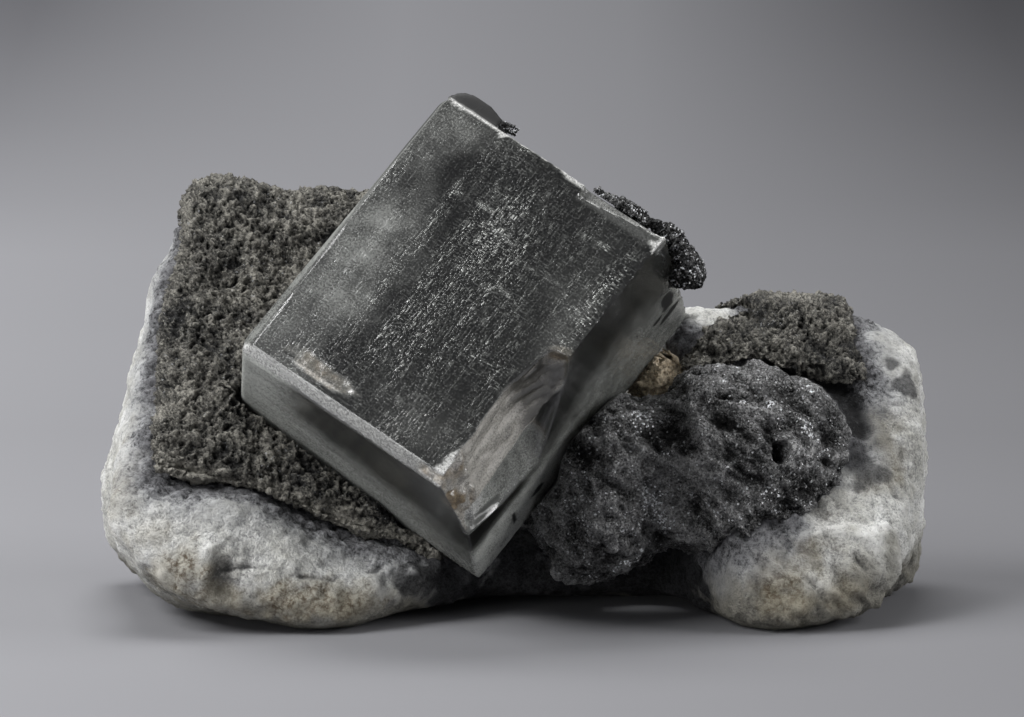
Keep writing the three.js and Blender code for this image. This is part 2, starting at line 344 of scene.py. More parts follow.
# How far each point is from the ore, in mm, with a ragged edge. A strip of ore dust runs behind the
# crystal, and two patches stayed clean.
ORE_STRIP = [(12.6, 3.0, 18.4), (14.0, 3.4, 19.8), (16.0, 3.6, 20.6)]
CLEAN_PATCHES = [((15.0, 6.5, 23.0), (2.3, 4, 1.3), 0.3, 58, 0.6),
                 ((26.3, -6.0, 8.0), (4.2, 4, 3.4), 0.4, 59, 0.8)]
ore = np.minimum.reduce([away(points, n) for n in
                         ("galena_crust_left", "galena_crust_right", "galena_nodule")])
ore = np.minimum(ore, away(points, "phosgenite_crystal") - 0.5)
ore = np.minimum(ore, off_path(points, ORE_STRIP) - 1.0)
ore = ore + 0.8 * rough(points, 1.5, 5, 51)
for patch in CLEAN_PATCHES:
    ore = ore + 4 * spot(points, *patch)
crumbs = smooth_step(1.3, 0.5, ore)

# Cracks in the left boulder's foot with a small hollow beside them, and a groove round the nodule.
SEAMS = [[(-21.9, -11.1, 5.75), (-18.6, -10.8, 5.85)],
         [(-21.9, -11.1, 5.3), (-20.2, -10.9, 5.45), (-18.0, -10.6, 5.2)],
         [(-16.5, -10.4, 4.5), (-12.9, -8.8, 3.6), (-11.5, -7.9, 4.0), (-8.8, -5.9, 5.9),
          (-6.0, -3.9, 6.1)]]
GROOVE = [(20.5, 2.2, 19.4), (24.5, 2.0, 18.6), (26.0, 1.0, 16.6), (26.6, -0.6, 14.2)]
bent = points + 0.12 * MM * np.stack([rough(points, 0.9, 3, n) for n in (53, 54, 55)], 1)
seam = np.minimum.reduce([off_path(bent, path) for path in SEAMS])
seam = smooth_step(0.34, 0.1, seam)
groove = smooth_step(1.5, 0.6, off_path(bent, GROOVE))
hollow = spot(points, (-22.3, -11.4, 4.2), (0.8, 1.5, 1.5), 0.3, 7, 0.8)

# Height over the CAD shape, in mm: lumps, ridges and scales, with slanted splits low on the right
# boulder and crumbs near the ore.
broken = smooth_step(12, 20, points[:, 0] / MM) * smooth_step(13, 9, points[:, 2] / MM)
slanted = np.stack([points[:, 0] + 0.6 * points[:, 2], points[:, 1], 0.5 * points[:, 2]], 1)
splits = 0.75 * broken * (0.3 - np.abs(rough(slanted, 2.2, 4, 25)))
relief = 0.3 * rough(points, 3.6, 5, 11) + 0.16 * np.abs(rough(points, 1.4, 3, 23))
relief = relief + 0.13 * rough(points, 0.8, 2, 24) + splits
relief = relief + 0.5 * crumbs * grains(points, 1.0, 52) - 0.2 * seam - 0.5 * hollow - 0.6 * groove
clear_floor = smooth_step(0.1, 1.2, points[:, 2] / MM)
points += normals * (relief * clear_floor * MM)[:, None]
points = clear_of(points, "phosgenite_crystal", 0.1)
points[:, 2] = np.maximum(points[:, 2], 0)
place(matrix, points)
paint(matrix, "relief", relief)
paint(matrix, "ore", ore)


def spots(points, ragged, seed, patches, soft=0.3):
    """How strongly each point is marked: patches are a centre and radii in mm, and a strength."""
    total = np.zeros(len(points))
    for centre, radii, strength in patches:
        total = np.maximum(total, strength * spot(points, centre, radii, ragged, seed, soft))
    return total


# Stains and painted shade: iron low on both boulders, black galena powder in the gaps and painted shade in
# the recess under the bridge, and darkening low down and in a few spots, partly stain and partly painted
# shade.
IRON_STAINS = [
    ((-26, -10.4, 4.6), (2.6, 4, 2.4), 0.9), ((-22.8, -11.5, 3.2), (2.4, 4, 1.2), 0.8),
    ((-15.5, -10.8, 2.9), (4.2, 4, 1.4), 1.0), ((-13.0, -9.6, 2.4), (2.0, 4, 1.2), 0.8),
    ((-30.0, -7, 11), (1.4, 5, 5), 0.5), ((-27.5, -9.5, 7.5), (1.5, 3, 1.6), 0.5),
    ((19.6, -9.4, 4.6), (1.6, 3, 1.8), 1.0), ((21, -10.4, 2.4), (2.5, 4, 1.2), 0.7),
    ((24, -7, 8.4), (1.6, 3, 2.4), 0.2), ((28.6, -2.0, 11.4), (1.8, 2, 1.6), 0.4),
    ((22, -9.4, 5.6), (1.2, 3, 1.4), 0.6), ((24.5, -8.5, 3.2), (2.0, 3, 1.2), 0.5)]
# Black powder patches; the big ones low in the recess under the bridge are painted shade.
BLACK_POWDER_AND_SHADE = [
    ((-7.4, -6.0, 3.2), (2.6, 3, 1.5), 0.9), ((2, 0, 1), (9, 8, 3.8), 1.0), ((10, 1, 2), (9, 6, 4), 1.0),
    ((-0.4, 0, 5.6), (3.4, 3, 2.4), 1.0), ((-5.6, -3.6, 3.0), (2.4, 3, 2.6), 1.0),
    ((13.2, 3.2, 18.2), (1.7, 3, 1.0), 0.9),
    ((30.6, 3.4, 17.3), (0.9, 2, 1.1), 0.85), ((29.6, 4.2, 18.9), (0.6, 1.5, 0.55), 0.8),
    ((26.6, -3.0, 11.9), (1.1, 3, 1.5), 0.85), ((27.9, -2.8, 11.2), (1.2, 2, 0.8), 0.75),
    ((-27.7, -9.8, 3.4), (0.5, 1.2, 0.6), 0.95), ((29.6, 2, 1.3), (1.6, 2.5, 1.4), 0.6),
    ((26.0, -7.5, 2.6), (0.7, 2, 0.6), 0.4), ((28.5, -3.0, 6.4), (0.6, 2, 0.8), 0.35)]
# Spots painted darker: partly stain, partly painted shade in the small hollow and by the groove round the
# nodule.
DIRT_AND_SHADE = [
    ((28.0, -0.4, 14.6), (1.9, 4, 2.2), 0.9), ((29.4, -1.2, 12.4), (1.6, 3, 1.4), 0.6),
    ((-22.2, -11.4, 4.6), (1.3, 2, 2.0), 0.7), ((28.9, -5.5, 5.4), (0.9, 2, 1.6), 0.6),
    ((22.8, -8.4, 5.6), (0.7, 2, 1.6), 0.7), ((25.8, -7.4, 4.8), (0.6, 2, 1.3), 0.6),
    ((20.6, -9.0, 6.4), (0.6, 2, 1.0), 0.6)]
paint(matrix, "iron", spots(points, 0.9, 3, IRON_STAINS, 1.0))
# The dark mark: black galena powder, real in its small spots and painted shade in the big patches in the
# recess under the bridge; and the cracks, the small hollow and the groove painted dark as their shade.
black = spots(points, 0.5, 9, BLACK_POWDER_AND_SHADE)
paint(matrix, "dark", np.clip(black + 0.75 * seam + 0.3 * hollow + groove, 0, 1))
# Darker low down, below a wavy line: partly stain, partly painted shade where little light reaches from
# below.
stained_and_shaded_below = np.interp(points[:, 0] / MM, [-30, -12, 12, 20], [4.6, 3.5, 6.0, 5.6])
uneven = points[:, 2] / MM + 1.2 * rough(points, 3.0, 4, 56)
grime_and_painted_shade = 0.9 * smooth_step(stained_and_shaded_below + 1.5, stained_and_shaded_below - 3.5, uneven)
paint(matrix, "grime_and_painted_shade", np.maximum(grime_and_painted_shade, spots(points, 0.7, 57, DIRT_AND_SHADE, 0.9)))

# Chalk-white to cream, dead matt and scaly, grey in its pits as painted shade, and darker low down and in
# spots, partly stain and partly painted shade. The scales are drawn about 0.2 mm wide, coarser than the real
# ones.
SCALE_WIDTH = 0.42
FINE_SCALE_WIDTH = 0.17
CLOUD_WIDTH = 3.0
baryte, tree = material("massive baryte, broken")
where = add(tree, "TexCoord").outputs["Object"]
scales = add(tree, "TexNoise", {"Vector": where, "Scale": 1 / (SCALE_WIDTH * MM), "Detail": 5.0,
                                "Roughness": 0.75, "Distortion": 0.3})
fine = add(tree, "TexNoise", {"Vector": where, "Scale": 1 / (FINE_SCALE_WIDTH * MM), "Detail": 3.0,
                              "Roughness": 0.7})
broad = add(tree, "TexNoise", {"Vector": where, "Scale": 1 / (CLOUD_WIDTH * MM), "Detail": 5.0,
                               "Roughness": 0.6})
marks = {}
for name in ("relief", "grime_and_painted_shade", "iron", "ore", "dark"):
    marks[name] = add(tree, "Attribute", attribute_name=name).outputs["Fac"]
cloudy = add(tree, "MapRange", {"Value": broad, "From Min": 0.38, "From Max": 0.62})
colour = add(tree, "MixRGB", {"Fac": cloudy, "Color1": srgb("#cecdc6"), "Color2": srgb("#f8f8f5")})
raised = add(tree, "Math", {0: marks["relief"], 1: 0.35, 2: scales}, operation="MULTIPLY_ADD")
scaly = add(tree, "Math", {0: fine, 1: 0.8, 2: raised}, operation="MULTIPLY_ADD")
# Painted shade: grey where the surface is low, in its pits.
painted_pit_shade = add(tree, "MapRange", {"Value": scaly, "From Min": 1.0, "From Max": 0.68, "To Max": 0.8})
colour = add(tree, "MixRGB", {"Fac": painted_pit_shade, "Color1": colour, "Color2": srgb("#6f6f70")})
# Painted shade and stain: darker low down and in the spots above.
colour = add(tree, "MixRGB", {"Fac": marks["grime_and_painted_shade"], "Color1": colour, "Color2": srgb("#8f8b80")},
             blend_type="MULTIPLY")
tinged = add(tree, "Math", {0: marks["iron"], 1: 0.5}, operation="MULTIPLY")
colour = add(tree, "MixRGB", {"Fac": tinged, "Color1": colour, "Color2": srgb("#aea58c")})
flecks = add(tree, "MapRange", {"Value": scales, "From Min": 0.56, "From Max": 0.4})
bleached = add(tree, "MapRange", {"Value": broad, "From Min": 0.58, "From Max": 0.45})
rusty = add(tree, "Math", {0: marks["iron"], 1: flecks}, operation="MULTIPLY")
rusty = add(tree, "Math", {0: rusty, 1: bleached}, operation="MULTIPLY")
colour = add(tree, "MixRGB", {"Fac": rusty, "Color1": colour, "Color2": srgb("#5f5140")})
hazy = add(tree, "MapRange", {"Value": marks["ore"], "From Min": 4.2, "From Max": 1.0, "To Max": 0.75})
colour = add(tree, "MixRGB", {"Fac": hazy, "Color1": colour, "Color2": srgb("#85878c")})
ragged = add(tree, "Math", {0: scales, 1: 5.0, 2: marks["ore"]}, operation="MULTIPLY_ADD")
dusty = add(tree, "MapRange", {"Value": ragged, "From Min": 4.4, "From Max": 2.9})
grainy = add(tree, "MapRange", {"Value": scaly, "From Min": 0.75, "From Max": 1.1})
dust = add(tree, "MixRGB", {"Fac": grainy, "Color1": srgb("#161618"), "Color2": srgb("#77777a")})
colour = add(tree, "MixRGB", {"Fac": dusty, "Color1": colour, "Color2": dust})
# Near-black where the dark mark is: galena powder, and painted shade in the cracks, the hollow, the groove
# and the recess under the bridge.
powder_and_painted_shade = add(tree, "MixRGB", {"Fac": grainy, "Color1": srgb("#0e0e10"), "Color2": srgb("#48484a")})
colour = add(tree, "MixRGB", {"Fac": marks["dark"], "Color1": colour, "Color2": powder_and_painted_shade})
bump = add(tree, "Bump", {"Height": scaly, "Strength": 0.9, "Distance": 0.3 * MM})
surface = add(tree, "BsdfPrincipled", {"Base Color": colour, "Roughness": 0.85, "Normal": bump})
add(tree, "OutputMaterial", {"Surface": surface})
matrix.data.materials.append(baryte)
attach(matrix, "root")
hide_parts("baryte_matrix")


# ---- Galena crust ----
# A porous crust of small galena grains, 0.3 to 1.3 mm, dull with dust. One piece covers the left
# boulder's front slope and one the top of the right boulder.
def crusty(piece, height, sizes, seed, dusted=0.0):
    """Grows clumps, grains and crumbs of these sizes in mm, and keeps how high each vertex stands, less a
    painted shadow of the crystal low on the left crust.

    The height is in mm; it and the dust are a number, or one for each vertex."""
    points = read(piece)
    normals = read(piece, "normal")
    clump, grain, crumb = sizes
    swirl = np.stack([rough(points, clump, 4, seed + n) for n in (1, 2, 3)], 1)
    warped = points + 0.45 * clump * MM * swirl
    relief = 0.5 * grains(warped, clump, seed) + 0.3 * grains(warped, grain, seed + 5)
    relief = relief + 0.25 * (1 - 2.4 * np.abs(lumps(warped, crumb, seed + 9))) + 0.2 * swirl[:, 0] - 0.55
    points += normals * ((relief + 0.42 * lumps(points, 3.5, seed + 4)) * height * MM)[:, None]
    place(piece, clear_of(points, "phosgenite_crystal", 0.08))
    # A painted shadow of the crystal: darker low down right of x = -18 mm, which is the left crust's lower
    # part beside the crystal.
    shaded = 0.3 * smooth_step(-18, -11, points[:, 0] / MM) * smooth_step(13, 8, points[:, 2] / MM)
    paint(piece, "relief", relief + 0.3 * rough(points, 3.2, 3, seed + 6) - shaded + dusted)


def galena(name, grain, grit, dark, light, low, high, metallic, roughness, tilt):
    """Galena painted dark in its pores as shade and light on its knobs, with cleavage facets: each facet's
    brightness is scaled at random as painted sparkle, and a few are painted near-white as glints.

    The grain is in mm. Low and high are the heights where it is dark and light, grit is how much the
    grains add to the height, and tilt is how far the facets turn from the surface."""
    made, tree = material(name)
    where = add(tree, "TexCoord").outputs["Object"]
    relief = add(tree, "Attribute", attribute_name="relief").outputs["Fac"]
    fine = add(tree, "TexNoise", {"Vector": where, "Scale": 1 / (grain * MM), "Detail": 4.0,
                                  "Roughness": 0.75})
    height = add(tree, "Math", {0: fine, 1: grit, 2: relief}, operation="MULTIPLY_ADD")
    cells = add(tree, "TexVoronoi", {"Vector": where, "Scale": 1 / (0.8 * grain * MM)}).outputs["Color"]
    chance = add(tree, "SeparateColor", {0: cells})
    # Painted sparkle: each facet's colour is made paler or darker at random, as if some caught the light.
    painted_sparkle = add(tree, "MapRange", {"Value": chance.outputs["Green"], "To Min": 0.25, "To Max": 1.75})
    # Painted shade: the colour runs darker where the height is lower, in the pores.
    worn = add(tree, "MapRange", {"Value": height, "From Min": low, "From Max": high})
    worn = add(tree, "Math", {0: worn, 1: painted_sparkle}, operation="MULTIPLY", use_clamp=True)
    colour = add(tree, "MixRGB", {"Fac": worn, "Color1": srgb(dark), "Color2": srgb(light)})
    centred = add(tree, "VectorMath", {0: cells, 1: (0.5, 0.5, 0.5)}, operation="SUBTRACT")
    turned = add(tree, "VectorMath", {0: centred, "Scale": tilt}, operation="SCALE")
    bump = add(tree, "Bump", {"Height": fine, "Strength": 1.0, "Distance": 1.4 * grain * MM})
    facets = add(tree, "VectorMath", {0: bump, 1: turned}, operation="ADD")
    facets = add(tree, "VectorMath", {0: facets}, operation="NORMALIZE")
    glint = add(tree, "Attribute", attribute_name="glint").outputs["Fac"]
    lucky = add(tree, "Math", {0: glint, 1: 0.3, 2: chance}, operation="MULTIPLY_ADD")
    # Painted glints: facets painted near-white where the glint mark is high.
    painted_glint = add(tree, "MapRange", {"Value": lucky, "From Min": 0.97, "From Max": 1.02})
    colour = add(tree, "MixRGB", {"Fac": painted_glint, "Color1": colour, "Color2": srgb("#f0f2f5")})
    shiny = add(tree, "MapRange", {"Value": painted_glint, "To Min": metallic, "To Max": 0.6})
    matt = add(tree, "MapRange", {"Value": painted_glint, "To Min": roughness, "To Max": 0.3})
    surface = add(tree, "BsdfPrincipled", {"Base Color": colour, "Roughness": matt, "Metallic": shiny,
                                           "Normal": facets})
    add(tree, "OutputMaterial", {"Surface": surface})
    return made


# Dusty galena: pores painted near-black as shade and warm grey knobs, with next to no shine.
dusty_galena = galena("galena crust, dusty", grain=0.18, grit=1.4, dark="#0a0a09", light="#9a978e",
                      low=0.35, high=1.15, metallic=0.3, roughness=0.5, tilt=0.9)
CRUST_SKIN = 0.19
CRUST_HEIGHT = 1.1
CRUST_SIZES = (1.3, 0.62, 0.36)
BORDER_POINT = np.array(Vector((-16.3, -6.8, 8.0)))
BORDER_WAY = np.array(Vector((-0.12, -0.68, -0.72)).normalized())
for name, node, seed in [("crust_left", "galena_crust_left", 31),
                         ("crust_right", "galena_crust_right", 47)]:
    crust = fine_skin(name, node, CRUST_SKIN, 8)
    points = read(crust)
    thinned = np.zeros(len(points))
    if name == "crust_left":  # it thins out to grey dust along its lower border
        from_border = -(points / MM - BORDER_POINT) @ BORDER_WAY
        thinned = smooth_step(3.2, 0.0, from_border + 0.8 * rough(points, 2.5, 3, 30))
        place(crust, points - read(crust, "normal") * (0.9 * thinned * MM)[:, None])
    crusty(crust, CRUST_HEIGHT * (1 - 0.5 * thinned), CRUST_SIZES, seed, 0.1 + thinned)
    paint(crust, "glint", 0.12 * np.clip(lumps(read(crust), 4, 5), 0, 1) - 0.06)
    crust.data.materials.append(dusty_galena)
    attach(crust, "root")
    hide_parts(node)


# ---- Galena nodule ----
# A lump of fresher, darker galena, broken across: gritty grains drawn out from upper left to lower
# right, painted silvery glints in streaks along its crests, and one deep hole, painted darker as its shade.

# It leaves room for the crystal, whose own frame has its origin in the middle of the main face, x
# across the face to the lower right, y along it to the upper right and z straight out of it.
CRYSTAL_HALF_WIDTH = 10.4
CRYSTAL_HALF_LENGTH = 12.85
FACE_FROM_LOW_CORNER = Vector((17.24, 7.44, 23.01)) * MM
face_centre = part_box("phosgenite_crystal")[0] + FACE_FROM_LOW_CORNER
turn = (Matrix.Rotation(math.radians(-5.5), 4, "Z") @ Matrix.Rotation(math.radians(59.7), 4, "X")
        @ Matrix.Rotation(math.radians(-34.4), 4, "Z"))
crystal_frame = Matrix.Translation(face_centre) @ turn


def rugged(points, seed):
    """Sharp crests of every size drawn out from upper left to lower right, from about -1 to 1."""
    x, y, z = points.T
    drawn = np.stack([0.5 * (0.79 * x - 0.61 * z), y, 0.61 * x + 0.79 * z], 1)
    crests = sum((1 - 2.4 * np.abs(lumps(drawn, 2.8 / 2 ** n, seed + n))) / 1.35 ** n for n in range(4))
    return 0.38 * crests + 0.3 * rough(drawn, 1.5, 3, seed + 8) - 0.25


def beside_crystal(points):
    """Points in front of the crystal's right face lowered until the face shows down to its seat."""
    turned = np.array(crystal_frame.to_3x3())
    local = (points - np.array(face_centre)) @ turned / MM
    x, y, z = local.T
    out = x - CRYSTAL_HALF_WIDTH
    seat = np.interp(y + 0.9 * out, [-2.8, -2.0, -1.0, 2.0, 4.0, 8.0],
                     [-17, -14.5, -13.5, -13.8, -14.8, -17])
    near = (out > 0) & (out < 4)
    local[:, 2] = np.where(near, np.minimum(z, seat + 2.8 * out), z)
    return local * MM @ turned.T + np.array(face_centre)


# Fresh galena: painted nearly black between its grains as shade, lead-grey on them, with mirror-like cleavage
# flakes, some painted near-white as glints.
fresh_galena = galena("galena, fine-grained", grain=0.17, grit=2.4, dark="#040404", light="#acacac",
                      low=1.0, high=2.15, metallic=0.5, roughness=0.42, tilt=1.2)
# Streaks of painted glints, where most flakes are painted near-white: a path and its width in mm, and how
# many do.
GLINTS = [([(9.3, -5.5, 16.2), (10.2, -6.6, 15.2), (11.2, -7.1, 14.0)], 0.7, 1.0),
          ([(9.8, -6.7, 10.6), (10.4, -6.3, 9.3), (11.2, -5.9, 8.0)], 0.8, 1.0),
          ([(15.9, -6.1, 17.8), (17.5, -6.2, 17.3)], 0.35, 1.0),
          ([(18.3, -6.7, 16.6), (19.4, -5.7, 17.0)], 0.4, 1.0),
          ([(22.2, -3.5, 18.6), (22.8, -3.5, 17.9)], 0.6, 0.9),
          ([(21.7, -5.5, 15.8), (22.7, -5.5, 14.6), (23.4, -5.4, 13.5)], 0.6, 0.7),
          ([(18.9, -8.2, 10.8), (19.9, -8.1, 9.4), (21.0, -7.4, 8.4)], 0.7, 0.9),
          ([(5.3, -8.3, 7.7), (5.0, -7.2, 5.2), (4.7, -5.6, 3.8)], 0.45, 0.5),
          ([(5.8, -5.6, 3.4), (7.6, -5.9, 4.2), (9.5, -6.2, 5.7)], 0.4, 0.9),
          ([(13.3, -7.0, 10.2), (15.1, -7.9, 9.1), (16.6, -8.5, 8.0)], 0.3, 0.6)]
NODULE_SKIN = 0.17
NODULE_ROUGHNESS = 0.85
nodule = fine_skin("nodule", "galena_nodule", NODULE_SKIN, 8)
points = read(nodule)
hole = spot(points, (20.2, -7.4, 13.7), (0.7, 2.5, 0.8), 0.25, 5)
cavity = spot(points, (19.6, -6.8, 15.2), (1.0, 2.0, 0.8), 0.4, 6, 0.8)
relief = rugged(points, 61)
raised = NODULE_ROUGHNESS * relief - 0.25 - 2.2 * hole - 0.7 * cavity
points += read(nodule, "normal") * (raised * MM)[:, None]
place(nodule, beside_crystal(clear_of(points, "phosgenite_crystal", 0.08)))
# The hole and the cavity are painted darker: painted shade.
paint(nodule, "relief", 0.9 * relief - hole - 0.4 * cavity)
glint = 0.06 + 0.15 * np.clip(lumps(points, 3.0, 19), 0, 1)
for path, reach, strength in GLINTS:
    streak = off_path(points, path) + 0.8 * reach * rough(points, 1.2, 4, 20)
    glint = np.maximum(glint, strength * smooth_step(1.3 * reach, 0.4 * reach, streak))
paint(nodule, "glint", glint * smooth_step(-0.2, 0.4, relief))
nodule.data.materials.append(fresh_galena)
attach(nodule, "root")
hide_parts("galena_nodule")


# ---- Galena grains ----
# Three small clusters of the same fresh galena, grown on the crystal's edges. For each: its mesh
# size, smoothing passes, how far it is worn down, and its crust's height, grain sizes and seed.
CLUSTERS = [("corner_grains", "galena_corner_cluster", 0.1, 3, 0.0, 0.5, (1.0, 0.5, 0.3), 67),
            ("edge_grains", "galena_edge_grains", 0.08, 2, 0.0, 0.45, (0.8, 0.4, 0.2), 71),
            ("tip_grains", "galena_tip_grains", 0.06, 1, 0.18, 0.3, (0.6, 0.3, 0.15), 73)]
for name, node, skin, passes, worn_by, height, sizes, seed in CLUSTERS:
    cluster = fine_skin(name, node, skin, passes)
    place(cluster, read(cluster) - read(cluster, "normal") * worn_by * MM)
    crusty(cluster, height, sizes, seed)
    paint(cluster, "glint", 0.3 + 0.3 * lumps(read(cluster), 1.0, 3))
    cluster.data.materials.append(fresh_galena)
    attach(cluster, "root")
    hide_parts(node)


# ---- Ochre grains ----
# A crumbly pocket of yellow-brown cerussite and limonite beside the nodule: dead matt, cream on the
# crumbs and brown between them.
OCHRE_SKIN = 0.12
OCHRE_GRAIN = 0.3
ochre, tree = material("limonite crumbs")
where = add(tree, "TexCoord").outputs["Object"]
fine = add(tree, "TexNoise", {"Vector": where, "Scale": 1 / (OCHRE_GRAIN * MM), "Detail": 4.0,
                              "Roughness": 0.7})
stained = add(tree, "MapRange", {"Value": fine, "From Min": 0.35, "From Max": 0.6})
colour = add(tree, "MixRGB", {"Fac": stained, "Color1": srgb("#94836b"), "Color2": srgb("#f6e6cc")})
bump = add(tree, "Bump", {"Height": fine, "Strength": 0.8, "Distance": 0.2 * MM})
surface = add(tree, "BsdfPrincipled", {"Base Color": colour, "Roughness": 0.9, "Normal": bump})
add(tree, "OutputMaterial", {"Surface": surface})
pocket = fine_skin("ochre_crumbs", "ochre_grains", OCHRE_SKIN, 3)
crusty(pocket, 1.2, (1.0, 0.5, 0.3), 83)
pocket.data.materials.append(ochre)
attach(pocket, "root")
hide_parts("ochre_grains")


# ---- Phosgenite crystal ----
# One see-through crystal of lead chloride-carbonate, faintly smoky, seated in the crust. Its main face
# is etched, its lower right edge is chipped, and a second thin layer grew behind its top corner. It is
# worked on in its own frame, so that etch marks and growth lines follow its edges.
CRYSTAL_SKIN = 0.2
SEAT_DEPTH = 17.4
LEFT_SPREAD = math.tan(math.radians(11))
UPPER_SPREAD = math.tan(math.radians(5))
crystal = cad_copy("crystal", "phosgenite_crystal")
crystal.data.transform(crystal_frame.inverted())
even_squares(crystal, CRYSTAL_SKIN)
local = read(crystal)
x, y, z = (local / MM).T
left_side = -CRYSTAL_HALF_WIDTH + z * LEFT_SPREAD
upper_side = CRYSTAL_HALF_LENGTH - z * UPPER_SPREAD

# The two upright edges on the left are rounded off, but not the slab that stands out past the top one.
for edge_y, inward, radius in ((upper_side, -1, 1.1), (-CRYSTAL_HALF_LENGTH, 1, 0.8)):
    over_x = radius - (x - left_side)
    over_y = radius - (y - edge_y) * inward
    far = np.hypot(over_x, over_y)
    outside = (over_x > 0) & (over_y > 0) & (far > radius) & (y < upper_side + 0.08)
    keep = np.where(outside, radius / np.maximum(far, radius), 1)
    x = np.where(outside, left_side + radius - over_x * keep, x)
    y = np.where(outside, edge_y + inward * (radius - over_y * keep), y)
local = np.stack([x, y, z], 1) * MM
lengthwise = local * np.array([1, 0.35, 1])
long_streaks = local * np.array([1, 0.4, 1])

# The chip is two hollow shells that meet in a ridge, whose depth below the main face changes along
# the crystal. Its near end is split off and crushed to crumbs.
RIDGE_DEPTH = ([0.0, 1.2, 3.2, 5.3, 9.0], [-3.4, -4.4, -5.8, -6.1, -6.2])
SPLIT_PLACE = ([0, 1.0, 3.3, 5.1, 8.4], [-9.5, -9.6, -10.1, -10.4, -11.8])
BLOW_Y, BLOW_Z = -7.8, -7.5
from_sides = np.stack([-z, CRYSTAL_HALF_WIDTH - x, y + CRYSTAL_HALF_LENGTH, x - left_side, upper_side - y,
                       z + SEAT_DEPTH])
nearest, second = np.sort(np.abs(from_sides), 0)[:2]
main = smooth_step(0.3, 0.1, -z)
chipped = smooth_step(0.04, 0.2, nearest) * smooth_step(6, 7, x) * smooth_step(2.5, 1.5, y)
ridge_z = np.interp(-y, *RIDGE_DEPTH)
upper_shell = chipped * smooth_step(-0.15, 0.15, z - ridge_z)
lower_shell = chipped - upper_shell
split_y = np.interp(-z, *SPLIT_PLACE)
crushed = chipped * smooth_step(0.15, -0.15, y - split_y + 0.2 * rough(local, 1.2, 3, 5))
from_blow = np.hypot(y - BLOW_Y, z - BLOW_Z)
ripples = np.abs(np.sin(2.4 * from_blow + 0.8 * rough(local, 2.0, 2, 6)))
hollow = (0.5 * upper_shell * np.sin(math.pi * np.clip(z / ridge_z, 0, 1))
          + 0.35 * lower_shell * np.sin(math.pi * np.clip((ridge_z - z) / 4, 0, 1)))
splinters = rough(lengthwise, 1.1, 4, 7) + 0.5 * rough(long_streaks, 0.5, 2, 24)
dent = (1 - crushed) * (hollow + 0.07 * lower_shell * ripples + 0.2 * upper_shell * (splinters - 0.3))
crumbled = grains(local, 1.3, 8) + 0.5 * grains(local, 0.6, 9)
dent = dent - crushed * 0.6 * (crumbled - 0.6)
split = chipped * np.exp(-((y - split_y) / 0.16) ** 2) * smooth_step(5.5, 4.5, -z)
dent = dent + 0.25 * split

# Nicked edges, and the pitted patch near the left corner. The true planes stay perfectly flat.
FLAT = 0.9995
worn_edge = smooth_step(0.5, 0.1, second) * (1 - chipped)
nicks = 0.14 * np.clip(rough(local, 0.9, 4, 9), 0, 1) * smooth_step(-10.0, -9.5, x)
dent = dent + worn_edge * nicks
pitted = spot(local, (-4.3, -10.8, 0), (2.9, 0.75, 2), 0.45, 21) * main
dent = dent + pitted * (0.05 + 0.07 * rough(local, 0.6, 3, 22))
place(crystal, local - read(crystal, "normal") * (dent * MM)[:, None])
facing = np.empty(len(crystal.data.polygons) * 3, np.float32)
crystal.data.polygons.foreach_get("normal", facing)
crystal.data.polygons.foreach_set("use_smooth", np.abs(facing.reshape(-1, 3)).max(1) < FLAT)
crystal.data.transform(crystal_frame)


def cloud(centre_x, centre_y, reach_x, reach_y):
    """1 at a place on the main face, fading out over those distances in millimetres."""
    return np.exp(-((x - centre_x) / reach_x) ** 2 - ((y - centre_y) / reach_y) ** 2)


# How milky it is: the share of the surface that scatters light instead of letting it through. On the
# main face the milk lies along the left edge, in clouds: a centre, two reaches in mm and a strength.
CLOUDS = [(-7.8, -1.6, 2.4, 4.4, 0.10), (-7.6, 1.6, 1.2, 1.2, 0.13), (-7.0, -5.2, 1.3, 1.5, 0.05),
          (-4.8, -5.2, 1.2, 1.6, 0.10), (5.0, -10.0, 5.0, 2.4, 0.05), (8.9, 2.0, 1.2, 3.0, 0.09),
          (-5.4, 8.2, 2.0, 2.4, -0.13), (-6.0, 11.3, 2.0, 1.2, 0.06), (-3.6, 0.7, 1.4, 1.8, 0.05),
          (-9.8, 5.0, 2.0, 2.0, -0.05), (-4.6, -8.4, 1.6, 1.0, -0.06), (-8.4, 10.6, 1.6, 1.6, 0.05),
          (6.6, 6.0, 1.8, 5.0, 0.04)]
drift = rough(local, 4.0, 4, 3)
milk = 0.10 * smooth_step(-3.2, -7.2, x + 1.4 * drift)
for centre_x, centre_y, reach_x, reach_y, strength in CLOUDS:
    milk = milk + strength * cloud(centre_x + 0.4 * drift, centre_y, reach_x, reach_y)
blotchy = 0.8 + 0.55 * rough(local, 2.4, 3, 16) + 0.25 * rough(local, 0.8, 4, 4)
milk = milk * smooth_step(1.0, 0.3, -z) * (1 - chipped) * np.clip(blotchy, 0.1, 2)
milk = milk + 0.08 * worn_edge * smooth_step(-9.6, -10.0, x)

# The right face is clear above and milky below, and paler still at its foot by the nodule as painted light;
# the lower left face is milky at its far end and foot.
# The two hidden faces are a little milky all over, and the chip's shells where the blow bruised them.
on_right = smooth_step(0.4, 0.1, CRYSTAL_HALF_WIDTH - x) * (1 - main) * (1 - chipped)
clear_depth = np.interp(y, [-4, 0, 5, 12], [-9.2, -7.6, -5.6, -6.4])
clear_wedge = smooth_step(-5.6, -6.8, y) * smooth_step(-11.8, -11.4, z)
right_milk_and_painted_light = 0.04 + 0.30 * smooth_step(clear_depth + 1, clear_depth - 4.5, z + 0.5 * drift)
right_milk_and_painted_light = right_milk_and_painted_light * (1 - 0.9 * clear_wedge)
